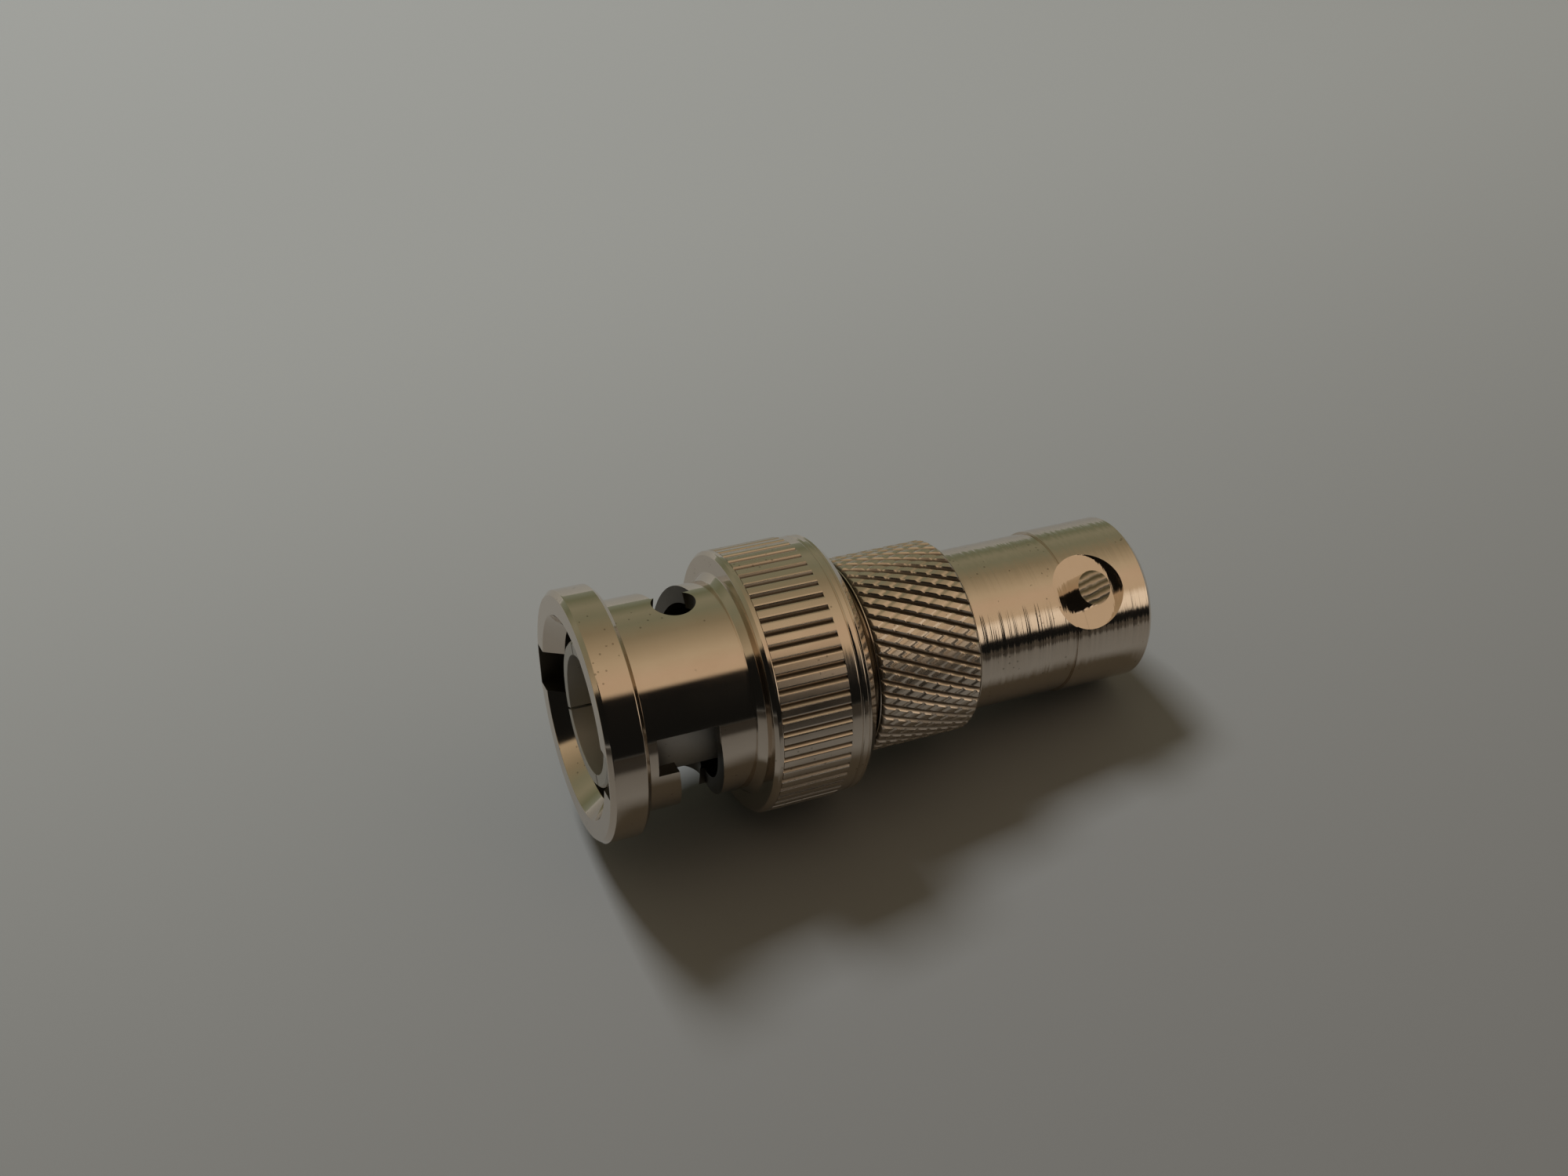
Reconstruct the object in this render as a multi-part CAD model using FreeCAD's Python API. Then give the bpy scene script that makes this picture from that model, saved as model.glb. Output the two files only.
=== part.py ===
"""A bnc male to female adapter, in millimetres.

The adapter stands upright on the front rim of its coupling ring. +Z is the adapter's own axis, from the
male (plug) end at z = 0 to the female (jack) end at the top. The two lugs of the female end lie on the
X axis.
"""
import FreeCAD
import Part
import math
import os

Vector = FreeCAD.Vector
Z_AXIS = Vector(0, 0, 1)
ORIGIN = Vector(0, 0, 0)

# Standard sizes of the interface
lug_diameter = 2.0
across_lugs = 11.0
jack_outer_diameter = 9.68
jack_bore_diameter = 8.12
jack_depth = 9.4
jack_nose_diameter = 4.72
jack_nose_recess = 3.2
pin_diameter = 1.35
pin_tip_diameter = 0.55
socket_bore_diameter = 1.38
sleeve_tip_diameter = 8.06
sleeve_bore_diameter = 6.6
plug_insulator_recess = 6.5

# Lengths along the axis
rim_length = 2.2
waist_length = 6.6
front_band_length = 0.45
ring_knurl_length = 3.9
ring_tail_length = 1.65
neck_length = 0.9
grip_length = 6.3
barrel_root_length = 6.5
barrel_end_length = 5.1

# Knurling: the angle between the walls of a groove
groove_angle = 90.0

# Coupling ring
rim_diameter = 13.9
rim_chamfer = 0.25
mouth_diameter = 11.3
waist_diameter = 11.7
waist_fillet = 0.4
ring_diameter = 14.8
ring_groove_count = 60
ring_groove_depth = 0.2
tail_taper_length = 0.85
tail_rear_diameter = 13.6
lip_length = 1.3

# Bayonet slots of the coupling ring, as angles about the axis
slot_count = 2
entry_angle = 38.0
entry_width = 2.2
entry_depth_radius = 5.65
entry_window_start = 2.9
lock_angle = 131.4
lock_height = 5.95
lock_hole_diameter = 2.4
ramp_start_height = 3.9
ramp_crest_height = 4.95
slot_back_start_height = 6.35
ramp_section_count = 6
crest_overlap_angle = 3.0

# Adapter body
grip_diameter = 11.2
grip_groove_count = 48
grip_groove_depth = 0.2
grip_helix_angle = 24.5
grip_helix_steps = 4
neck_diameter = 9.2
stem_diameter = 7.2
barrel_root_diameter = 9.46
barrel_end_chamfer = 0.3
lug_from_end = 3.95
lug_root_depth = 0.2
spot_face_diameter = 4.6
spot_face_distance = 4.25
insulator_bore_diameter = 6.4
insulator_bore_end = 17.0
tail_bore_diameter = 4.9
spigot_diameter = 5.8
spigot_length = 2.2

# Plug sleeve
sleeve_recess = 0.7
sleeve_outer_diameter = 7.8
sleeve_bead_length = 0.8
sleeve_slit_count = 4
sleeve_slit_width = 0.35
sleeve_slit_length = 5.0
sleeve_slit_angle = 15.0
sleeve_flange_thickness = 1.0

# Washers and gasket
gasket_width = 0.79
gasket_thickness = 1.0
gasket_front_from_tip = 9.4
washer_thickness = 0.3
wave_thickness = 0.25
wave_count = 3
wave_sides = 8

# Centre contact
contact_body_diameter = 2.1
contact_collar_diameter = 3.0
contact_collar_length = 1.4
pin_tip_setback = 1.3
socket_setback = 0.2
socket_bore_depth = 5.5
socket_slit_width = 0.25
socket_slit_length = 4.0

# Clearances, on the radius or along the axis
turning_clearance = 0.08
gasket_clearance = 0.05
seat_clearance = 0.02
insulator_clearance = 0.02
wave_clearance = 0.05

# How far a cutter reaches past the wall that it cuts
cutter_reach = 0.6

# Places along the axis that follow from the lengths
waist_end = rim_length + waist_length
ring_knurl_start = waist_end + front_band_length
ring_knurl_end = ring_knurl_start + ring_knurl_length
ring_end = ring_knurl_end + ring_tail_length
grip_start = ring_end + neck_length
grip_end = grip_start + grip_length
barrel_end_start = grip_end + barrel_root_length
total_length = barrel_end_start + barrel_end_length
lip_start = ring_end - lip_length
gasket_start = sleeve_recess + gasket_front_from_tip
flange_start = gasket_start + gasket_thickness
flange_end = flange_start + sleeve_flange_thickness
jack_floor = total_length - jack_depth
lug_height = total_length - lug_from_end

# Radii that follow from the fits
gasket_inner_radius = sleeve_outer_diameter / 2 + gasket_clearance
gasket_outer_radius = gasket_inner_radius + gasket_width
flange_radius = gasket_outer_radius + turning_clearance
ring_bore_radius = flange_radius + turning_clearance
lip_radius = stem_diameter / 2 + turning_clearance
washer_inner_radius = stem_diameter / 2 + turning_clearance
contact_radius = contact_body_diameter / 2


def revolve(outline):
    """Turn a closed outline of (radius, height) points about the axis."""
    points = [Vector(radius, 0, height) for radius, height in outline]
    points.append(points[0])
    face = Part.Face(Part.makePolygon(points))
    return face.revolve(ORIGIN, Z_AXIS, 360)


def tube(inner_radius, outer_radius, start, end):
    """A plain tube between two heights."""
    outer = Part.makeCylinder(outer_radius, end - start, Vector(0, 0, start))
    if inner_radius <= 0:
        return outer
    return outer.cut(Part.makeCylinder(inner_radius, end - start, Vector(0, 0, start)))


def polar(radius, angle, height):
    """A point from its radius, angle in degrees and height."""
    turn = math.radians(angle)
    return Vector(radius * math.cos(turn), radius * math.sin(turn), height)


def turned(shape, angle):
    """A copy of a shape, turned about the axis."""
    copy = shape.copy()
    copy.rotate(ORIGIN, Z_AXIS, angle)
    return copy


def ridge_corners(count, tip_radius, depth, helix_angle):
    """The corners of a star of flat-topped ridges with V grooves between, as (radius, angle) pairs."""
    pitch = 360.0 / count
    half_width = depth * math.tan(math.radians(groove_angle / 2)) / math.cos(math.radians(helix_angle))
    half_groove = math.degrees(half_width / tip_radius)
    corners = []
    for index in range(count):
        corners.append((tip_radius, pitch * index + half_groove))
        corners.append((tip_radius, pitch * (index + 1) - half_groove))
        corners.append((tip_radius - depth, pitch * (index + 1)))
    return corners


def twisted_bar(corners, start, end, twist, steps):
    """A solid bar whose star section turns steadily as it climbs."""
    rows = []
    for index in range(steps + 1):
        share = index / steps
        height = start + share * (end - start)
        rows.append([polar(radius, angle + share * twist, height) for radius, angle in corners])
    faces = [Part.Face(Part.makePolygon(row + row[:1])) for row in (rows[0], rows[-1])]
    for row, next_row in zip(rows, rows[1:]):
        for index in range(len(corners)):
            low = Part.makeLine(row[index - 1], row[index])
            high = Part.makeLine(next_row[index - 1], next_row[index])
            faces.append(Part.makeRuledSurface(low, high))
    shell = Part.Compound(faces)
    shell.sewShape()
    return Part.makeSolid(shell.Shells[0])


def knurl_groove(root_radius, depth, start, length):
    """The V prism that cuts one groove of a straight knurl, at angle 0."""
    reach = depth + cutter_reach
    half_width = reach * math.tan(math.radians(groove_angle / 2))
    corners = [Vector(root_radius, 0, start), Vector(root_radius + reach, half_width, start),
               Vector(root_radius + reach, -half_width, start)]
    return Part.Face(Part.makePolygon(corners + corners[:1])).extrude(Vector(0, 0, length))


def radial_bar(width, inner_radius, outer_radius, start, end, angle):
    """A bar with parallel sides that points outwards at an angle."""
    corner = Vector(inner_radius, -width / 2, start)
    bar = Part.makeBox(outer_radius - inner_radius, width, end - start, corner)
    return turned(bar, angle)


def radial_rod(diameter, inner_radius, outer_radius, height, angle):
    """A round rod that points outwards at an angle."""
    start = polar(inner_radius, angle, height)
    return Part.makeCylinder(diameter / 2, outer_radius - inner_radius, start, polar(1, angle, 0))


def section(angle, front, back, inner_radius, outer_radius):
    """A four-sided section on one half plane through the axis."""
    corners = [polar(inner_radius, angle, front), polar(outer_radius, angle, front),
               polar(outer_radius, angle, back), polar(inner_radius, angle, back)]
    return Part.makePolygon(corners + corners[:1])


def bayonet_slot():
    """The space that one lug of a mating jack runs in: entry, ramp and lock hole."""
    inner_radius = ring_bore_radius - cutter_reach
    outer_radius = ring_diameter / 2 + cutter_reach
    waist_radius = waist_diameter / 2
    lock_radius = lock_hole_diameter / 2
    groove = radial_bar(entry_width, inner_radius, entry_depth_radius, -cutter_reach,
                        slot_back_start_height, entry_angle)
    window = radial_bar(entry_width, inner_radius, outer_radius, entry_window_start,
                        slot_back_start_height, entry_angle)
    crest_angle = lock_angle - math.degrees(lock_radius / waist_radius) + crest_overlap_angle
    sections = []
    for index in range(ramp_section_count):
        share = index / (ramp_section_count - 1)
        angle = entry_angle + share * (crest_angle - entry_angle)
        front = ramp_start_height + share * (ramp_crest_height - ramp_start_height)
        back = slot_back_start_height + share * (lock_height + lock_radius - slot_back_start_height)
        sections.append(section(angle, front, back, inner_radius, outer_radius))
    ramp = Part.makeLoft(sections, True, True)
    lock = radial_rod(lock_hole_diameter, inner_radius, outer_radius, lock_height, lock_angle)
    return [groove, window, ramp, lock]


def make_coupling_ring():
    """The turned bayonet nut, with its two slots and the straight knurl."""
    rim = rim_diameter / 2
    waist = waist_diameter / 2
    ring = ring_diameter / 2
    mouth_length = mouth_diameter / 2 - ring_bore_radius
    tail_rear = tail_rear_diameter / 2
    outline = [
        (mouth_diameter / 2, 0), (rim - rim_chamfer, 0), (rim, rim_chamfer),
        (rim, rim_length), (waist, rim_length),
        (waist, waist_end - waist_fillet), (waist + waist_fillet, waist_end),
        (ring, waist_end),
        (ring, ring_end - tail_taper_length), (tail_rear, ring_end), (lip_radius, ring_end),
        (lip_radius, lip_start), (ring_bore_radius, lip_start), (ring_bore_radius, mouth_length),
    ]
    body = revolve(outline)
    groove = knurl_groove(ring - ring_groove_depth, ring_groove_depth, ring_knurl_start, ring_knurl_length)
    grooves = [turned(groove, 360.0 * index / ring_groove_count) for index in range(ring_groove_count)]
    body = body.cut(Part.Compound(grooves))
    for index in range(slot_count):
        for cutter in bayonet_slot():
            body = body.cut(turned(cutter, 360.0 * index / slot_count))
    return body


def make_grip():
    """The knurled bar of the body: flat-topped ridges that wind round it."""
    tip = grip_diameter / 2
    corners = ridge_corners(grip_groove_count, tip, grip_groove_depth, grip_helix_angle)
    twist = math.degrees(grip_length * math.tan(math.radians(grip_helix_angle)) / tip)
    return twisted_bar(corners, grip_start, grip_end, twist, grip_helix_steps)


def make_adapter_body():
    """The turned body: stem, neck, knurled grip, and the female barrel with its two lugs."""
    stem = stem_diameter / 2
    neck = neck_diameter / 2
    root = barrel_root_diameter / 2
    end = jack_outer_diameter / 2
    shaft = revolve([
        (0, flange_end), (stem, flange_end), (stem, ring_end), (neck, ring_end), (neck, grip_end),
        (root, grip_end), (root, barrel_end_start), (end, barrel_end_start),
        (end, total_length - barrel_end_chamfer), (end - barrel_end_chamfer, total_length),
        (0, total_length),
    ])
    body = shaft.fuse(make_grip())
    lug_tip = Part.makeCylinder(across_lugs / 2, spot_face_diameter,
                                Vector(0, 0, lug_height - spot_face_diameter / 2))
    for angle in (0, 180):
        spot = radial_rod(spot_face_diameter, spot_face_distance, across_lugs, lug_height, angle)
        body = body.cut(spot)
        lug = radial_rod(lug_diameter, jack_bore_diameter / 2 - lug_root_depth, across_lugs, lug_height, angle)
        body = body.fuse(lug.common(lug_tip))
    insulator_bore = insulator_bore_diameter / 2
    hollow = revolve([
        (0, flange_end), (spigot_diameter / 2, flange_end), (spigot_diameter / 2, flange_end + spigot_length),
        (tail_bore_diameter / 2, flange_end + spigot_length), (tail_bore_diameter / 2, insulator_bore_end),
        (insulator_bore, insulator_bore_end), (insulator_bore, jack_floor),
        (jack_bore_diameter / 2, jack_floor), (jack_bore_diameter / 2, total_length), (0, total_length),
    ])
    return body.cut(hollow)


def make_plug_sleeve():
    """The slotted outer contact of the male end, with the flange that carries the gasket."""
    outer = sleeve_outer_diameter / 2
    bead = sleeve_tip_diameter / 2
    bore = sleeve_bore_diameter / 2
    spigot = spigot_diameter / 2
    tip = sleeve_recess
    slope = bead - outer
    sleeve = revolve([
        (bore, tip), (bead - slope, tip), (bead, tip + slope), (bead, tip + sleeve_bead_length),
        (outer, tip + sleeve_bead_length + 2 * slope), (outer, flange_start), (flange_radius, flange_start),
        (flange_radius, flange_end), (spigot, flange_end), (spigot, flange_end + spigot_length),
        (tail_bore_diameter / 2, flange_end + spigot_length), (tail_bore_diameter / 2, flange_end),
        (bore, flange_end),
    ])
    for index in range(sleeve_slit_count):
        angle = 360.0 * index / sleeve_slit_count + sleeve_slit_angle
        slit = radial_bar(sleeve_slit_width, bore - cutter_reach, bead + cutter_reach,
                          tip - cutter_reach, tip + sleeve_slit_length, angle)
        sleeve = sleeve.cut(slit)
    return sleeve


def make_gasket():
    """The rubber ring that the front edge of a mating jack presses on."""
    return tube(gasket_inner_radius, gasket_outer_radius, gasket_start, flange_start)


def make_thrust_washer():
    """The flat washer on the inner lip of the coupling ring."""
    return tube(washer_inner_radius, flange_radius, lip_start - washer_thickness, lip_start)


def make_wave_washer():
    """The wavy spring washer that holds the coupling ring back."""
    low = flange_end + wave_clearance
    high = lip_start - washer_thickness - wave_clearance - wave_thickness
    sides = wave_sides * wave_count
    sections = []
    for index in range(sides):
        angle = 360.0 * index / sides
        front = low + (high - low) * (1 + math.cos(math.radians(wave_count * angle))) / 2
        sections.append(section(angle, front, front + wave_thickness, washer_inner_radius,
                                flange_radius))
    return Part.makeLoft(sections, True, True, True)


def make_plug_insulator():
    """The insulator of the male end, which ends at the collar of the centre contact."""
    front = sleeve_recess + plug_insulator_recess
    wide = sleeve_bore_diameter / 2 - insulator_clearance
    narrow = tail_bore_diameter / 2 - insulator_clearance
    hole = contact_radius + insulator_clearance
    return revolve([
        (hole, front), (wide, front), (wide, flange_end - seat_clearance),
        (narrow, flange_end - seat_clearance), (narrow, insulator_bore_end), (hole, insulator_bore_end),
    ])


def make_jack_insulator():
    """The insulator of the female end, with the nose round the centre socket."""
    wide = insulator_bore_diameter / 2 - insulator_clearance
    nose = jack_nose_diameter / 2
    hole = contact_radius + insulator_clearance
    collar = contact_collar_diameter / 2 + insulator_clearance
    collar_end = insulator_bore_end + contact_collar_length
    tip = total_length - jack_nose_recess
    return revolve([
        (collar, insulator_bore_end), (wide, insulator_bore_end), (wide, jack_floor), (nose, jack_floor),
        (nose, tip), (hole, tip), (hole, collar_end), (collar, collar_end),
    ])


def make_centre_contact():
    """The one centre contact: a pin at the male end and a split socket at the female end."""
    pin = pin_diameter / 2
    collar = contact_collar_diameter / 2
    tip = sleeve_recess + pin_tip_setback
    shoulder = sleeve_recess + plug_insulator_recess
    collar_start = insulator_bore_end
    collar_end = collar_start + contact_collar_length
    end = total_length - jack_nose_recess - socket_setback
    contact = revolve([
        (0, tip), (pin_tip_diameter / 2, tip), (pin, tip + pin), (pin, shoulder),
        (contact_radius, shoulder),
        (contact_radius, collar_start), (collar, collar_start), (collar, collar_end),
        (contact_radius, collar_end), (contact_radius, end), (0, end),
    ])
    bore = tube(0, socket_bore_diameter / 2, end - socket_bore_depth, end)
    slit = Part.makeBox(contact_body_diameter * 2, socket_slit_width, socket_slit_length,
                        Vector(-contact_body_diameter, -socket_slit_width / 2, end - socket_slit_length))
    return contact.cut(bore).cut(slit)


parts = {
    "coupling_ring": make_coupling_ring(),
    "adapter_body": make_adapter_body(),
    "plug_sleeve": make_plug_sleeve(),
    "gasket": make_gasket(),
    "thrust_washer": make_thrust_washer(),
    "wave_washer": make_wave_washer(),
    "plug_insulator": make_plug_insulator(),
    "jack_insulator": make_jack_insulator(),
    "centre_contact": make_centre_contact(),
}

os.makedirs("parts", exist_ok=True)
for name, shape in parts.items():
    if shape.ShapeType == "Compound" and len(shape.Solids) == 1:
        shape = shape.Solids[0]
    print(name, shape.ShapeType, len(shape.Solids), shape.isValid(), round(shape.Volume, 2),
          len(shape.Faces))
    shape.exportStep("parts/" + name + ".step")
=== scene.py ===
"""A bnc male to female adapter, dressed in nickel plate, in metres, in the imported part's own frame.

The part stands on the front rim of its coupling ring, with +Z along its axis. In the photograph it lies on
a table, so here the table is a plane that touches the ring's side, and the camera is rolled to match.
"""
import bmesh
import bpy
import math
from mathutils import Matrix, Vector


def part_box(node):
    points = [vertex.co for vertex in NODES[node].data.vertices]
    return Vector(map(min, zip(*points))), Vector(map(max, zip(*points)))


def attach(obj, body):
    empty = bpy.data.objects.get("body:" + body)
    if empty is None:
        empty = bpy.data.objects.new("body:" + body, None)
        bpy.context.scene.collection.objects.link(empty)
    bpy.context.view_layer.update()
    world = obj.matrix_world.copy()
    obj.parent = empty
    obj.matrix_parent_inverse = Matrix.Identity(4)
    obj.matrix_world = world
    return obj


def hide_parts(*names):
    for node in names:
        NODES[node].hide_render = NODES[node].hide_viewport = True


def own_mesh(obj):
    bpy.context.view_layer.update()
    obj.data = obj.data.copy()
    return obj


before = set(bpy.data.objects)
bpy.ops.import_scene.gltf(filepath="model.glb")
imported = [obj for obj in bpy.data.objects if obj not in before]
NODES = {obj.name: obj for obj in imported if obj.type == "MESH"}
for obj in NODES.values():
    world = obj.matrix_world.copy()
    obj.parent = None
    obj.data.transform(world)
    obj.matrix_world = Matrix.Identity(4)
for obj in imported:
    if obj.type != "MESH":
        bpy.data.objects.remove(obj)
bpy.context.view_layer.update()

# Places along the axis and radii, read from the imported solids
RING_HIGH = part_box("coupling_ring")[1]
BODY_LOW, BODY_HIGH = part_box("adapter_body")
SLEEVE_LOW, SLEEVE_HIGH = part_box("plug_sleeve")
GASKET_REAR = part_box("gasket")[1].z
SPRING_LOW, SPRING_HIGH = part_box("wave_washer")
RING_RADIUS = RING_HIGH.x
RING_END = RING_HIGH.z
FULL_LENGTH = BODY_HIGH.z
FLANGE_END = BODY_LOW.z
LIP_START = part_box("thrust_washer")[1].z

# Coupling ring
RIM_RADIUS = 0.00695
RIM_CHAMFER = 0.00025
RIM_END = 0.0022
MOUTH_RADIUS = 0.00565
MOUTH_LENGTH = 0.00105
RING_BORE = 0.0049
BAND_CHAMFER = 0.0002
WAIST_RADIUS = 0.00585
WAIST_END = 0.0088
WAIST_FILLET = 0.0004
KNURL_START = 0.00925
KNURL_END = 0.01315
RIDGE_DEPTH = 0.00018
RIDGE_COUNT = 60
RIDGE_FLAT = 0.58
TAIL_RADIUS = 0.00733
TAIL_REAR_RADIUS = 0.0068
TAIL_GROOVES = (0.01375, 0.01415)
TAIL_GROOVE_WIDTH = 0.00016
TAIL_GROOVE_DEPTH = 0.00008
LIP_RADIUS = 0.00368

# Bayonet slots, with angles in degrees about the axis
SLOT_COUNT = 2
ENTRY_ANGLE = 38.0
ENTRY_WIDTH = 0.0022
ENTRY_RADIUS = 0.00565
NOTCH_WIDTH = 0.0025
NOTCH_RADIUS = 0.00655
NOTCH_END = 0.0019
WINDOW_START = 0.0029
RAMP_START = 0.0039
RAMP_CREST = 0.00495
BACK_START = 0.00635
LOCK_ANGLE = 131.4
LOCK_HEIGHT = 0.00595
LOCK_RADIUS = 0.0012
CREST_OVERLAP = 3.0
RAMP_STEPS = 24
CUT_REACH = 0.0006  # how far a cutter reaches past the wall that it cuts

# Adapter body
STEM_RADIUS = 0.0036
NECK_RADIUS = 0.0046
GRIP_START = 0.0157
GRIP_END = 0.022
GRIP_RADIUS = 0.0056
GRIP_COUNT = 48
GRIP_FLAT = 0.5
GRIP_CROSSING = 0.3  # depth of the crossing grooves, as a share of the ridges'
GRIP_HELIX = 24.5
GRIP_CHAMFER = 0.00025
BARREL_RADIUS = 0.00473
BARREL_STEP = 0.0285
JACK_RADIUS = 0.00484
JACK_CHAMFER = 0.0003
JACK_BORE = 0.00406
JACK_FLOOR = 0.0242
LUG_HEIGHT = 0.02965
LUG_RADIUS = 0.001
LUG_TIP = 0.0055
LUG_ROOT = JACK_BORE + 0.0001
SPOT_RADIUS = 0.0022
SPOT_DISTANCE = 0.00425
INSULATOR_BORE = 0.0032
INSULATOR_FLOOR = 0.017
TAIL_BORE = 0.00245
SPIGOT_RADIUS = 0.0029
SPIGOT_LENGTH = 0.0022

# Sleeve of the male end
SLEEVE_BORE = 0.0033
SLEEVE_RADIUS = 0.0039
BEAD_RADIUS = 0.00403
BEAD_LENGTH = 0.0008
SLEEVE_ROUND = 0.00004
SLIT_WIDTH = 0.00014
SLIT_LENGTH = 0.005
SLIT_ANGLES = (15.0, 105.0, 195.0, 285.0)

# Wave washer: the ring pulls forward as its joint does
SPRING_BORE = 0.00368
SPRING_SHEET = 0.00025
SPRING_WAVES = 3

# Mesh fineness
SPRING_STEPS = 192
RING_STEPS = 480
BODY_STEPS = 384
SHARP_ANGLE = math.radians(24)
EDGE_ROUND = 0.00006
EDGE_HOLD = 0.000012
EDGE_SHARE = 0.3  # the most of a short edge that its corner's arc takes
INSIDE_MARGIN = 0.00015  # how far inside the waist a face counts as the wall of a slot or the bore

# The camera of the photograph, in the part's frame
PHOTO_WIDTH = 2000
FOCAL_PIXELS = 2050.0
SENSOR_WIDTH = 36.0
CAMERA_PLACE = Vector((0.084928, 0.009226, -0.01709))
CAMERA_RIGHT = Vector((0.29131, 0.25649, 0.9216))
CAMERA_UP = Vector((0.22484, -0.95476, 0.19465))
CAMERA_BACK = Vector((0.92983, 0.15051, -0.3358))
CAMERA_RISE = math.radians(49)
TABLE_SIZE = 0.9
TABLE_DEPTH = 0.00745


def polar(radius, angle, height):
    """A point from its radius, angle in degrees and height."""
    turn = math.radians(angle)
    return Vector((radius * math.cos(turn), radius * math.sin(turn), height))


def finished(piece):
    """Shade a mesh smooth, apart from its sharp edges."""
    piece.data.shade_smooth()
    piece.data.set_sharp_from_angle(angle=SHARP_ANGLE)
    return piece


def new_piece(name, mesh):
    """An object for a mesh, linked to the scene, at the origin."""
    piece = bpy.data.objects.new(name, mesh)
    bpy.context.scene.collection.objects.link(piece)
    return piece


def placed(name, mesh):
    """A piece from a finished bmesh, which is used up."""
    data = bpy.data.meshes.new(name)
    mesh.to_mesh(data)
    mesh.free()
    return new_piece(name, data)


def rounded(outline, radius=EDGE_ROUND, steps=3):
    """A closed outline of (radius, height) points with every corner turned into a small arc.

    Extra points hold the shading flat on the long stretches between the arcs.
    """
    count = len(outline)
    points = []
    for index in range(count):
        before = Vector(outline[index - 1])
        corner = Vector(outline[index])
        after = Vector(outline[(index + 1) % count])
        if corner.x == 0:
            points.append(corner)
            continue
        back = before - corner
        ahead = after - corner
        turn = math.pi - back.angle(ahead)
        reach = min(radius * math.tan(turn / 2), EDGE_SHARE * back.length, EDGE_SHARE * ahead.length)
        first = corner + back.normalized() * reach
        last = corner + ahead.normalized() * reach
        if back.length > 8 * EDGE_HOLD:
            points.append(first + back.normalized() * EDGE_HOLD)
        for step in range(steps + 1):
            share = step / steps
            points.append(first.lerp(corner, share).lerp(corner.lerp(last, share), share))
        if ahead.length > 8 * EDGE_HOLD:
            points.append(last + ahead.normalized() * EDGE_HOLD)
    return points


def turned(name, outline, steps):
    """A closed mesh, turned about the axis from a closed outline."""
    mesh = bmesh.new()
    rows = []
    for step in range(steps):
        angle = 360.0 * step / steps
        rows.append([mesh.verts.new(polar(point.x, angle, point.y)) for point in outline])
    count = len(outline)
    for step in range(steps):
        row = rows[step]
        next_row = rows[(step + 1) % steps]
        for index in range(count):
            other = (index + 1) % count
            mesh.faces.new((row[index], next_row[index], next_row[other], row[other]))
    bmesh.ops.remove_doubles(mesh, verts=mesh.verts, dist=1e-8)
    bmesh.ops.dissolve_degenerate(mesh, edges=mesh.edges, dist=1e-8)
    bmesh.ops.recalc_face_normals(mesh, faces=mesh.faces)
    return placed(name, mesh)


def block(name, corners):
    """A closed block from rows of four corners each, joined in order."""
    mesh = bmesh.new()
    rows = [[mesh.verts.new(corner) for corner in row] for row in corners]
    for row, next_row in zip(rows, rows[1:]):
        for index in range(4):
            other = (index + 1) % 4
            mesh.faces.new((row[index], row[other], next_row[other], next_row[index]))
    mesh.faces.new(rows[0])
    mesh.faces.new(rows[-1])
    bmesh.ops.recalc_face_normals(mesh, faces=mesh.faces)
    return placed(name, mesh)


def bar(name, width, inner, outer, start, end, angle):
    """A bar with parallel sides that points outwards at an angle."""
    spin = Matrix.Rotation(math.radians(angle), 4, "Z")
    rows = []
    for height in (start, end):
        flat = [(inner, -width / 2), (outer, -width / 2), (outer, width / 2), (inner, width / 2)]
        rows.append([spin @ Vector((x, y, height)) for x, y in flat])
    return block(name, rows)


def rod(name, radius, inner, outer, height, angle, steps=96):
    """A round rod that points outwards at an angle, turned a little so that no corner meets a wall's."""
    mesh = bmesh.new()
    bmesh.ops.create_cone(mesh, cap_ends=True, segments=steps, radius1=radius, radius2=radius,
                          depth=outer - inner)
    middle = (inner + outer) / 2
    place = (Matrix.Rotation(math.radians(angle), 4, "Z") @ Matrix.Translation((middle, 0, height))
             @ Matrix.Rotation(math.radians(90), 4, "Y") @ Matrix.Rotation(0.4 * math.tau / steps, 4, "Z"))
    bmesh.ops.transform(mesh, matrix=place, verts=mesh.verts)
    return placed(name, mesh)


def combined(piece, tool, operation):
    """The piece with a tool cut from it, joined to it or kept in common. The tool is used up."""
    change = piece.modifiers.new("combine", "BOOLEAN")
    change.operation = operation
    change.solver = "MANIFOLD"
    change.object = tool
    bpy.context.view_layer.update()
    graph = bpy.context.evaluated_depsgraph_get()
    data = bpy.data.meshes.new_from_object(piece.evaluated_get(graph))
    piece.modifiers.clear()
    old = piece.data
    piece.data = data
    data.name = old.name
    bpy.data.meshes.remove(old)
    bpy.data.objects.remove(tool)
    return piece


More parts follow.
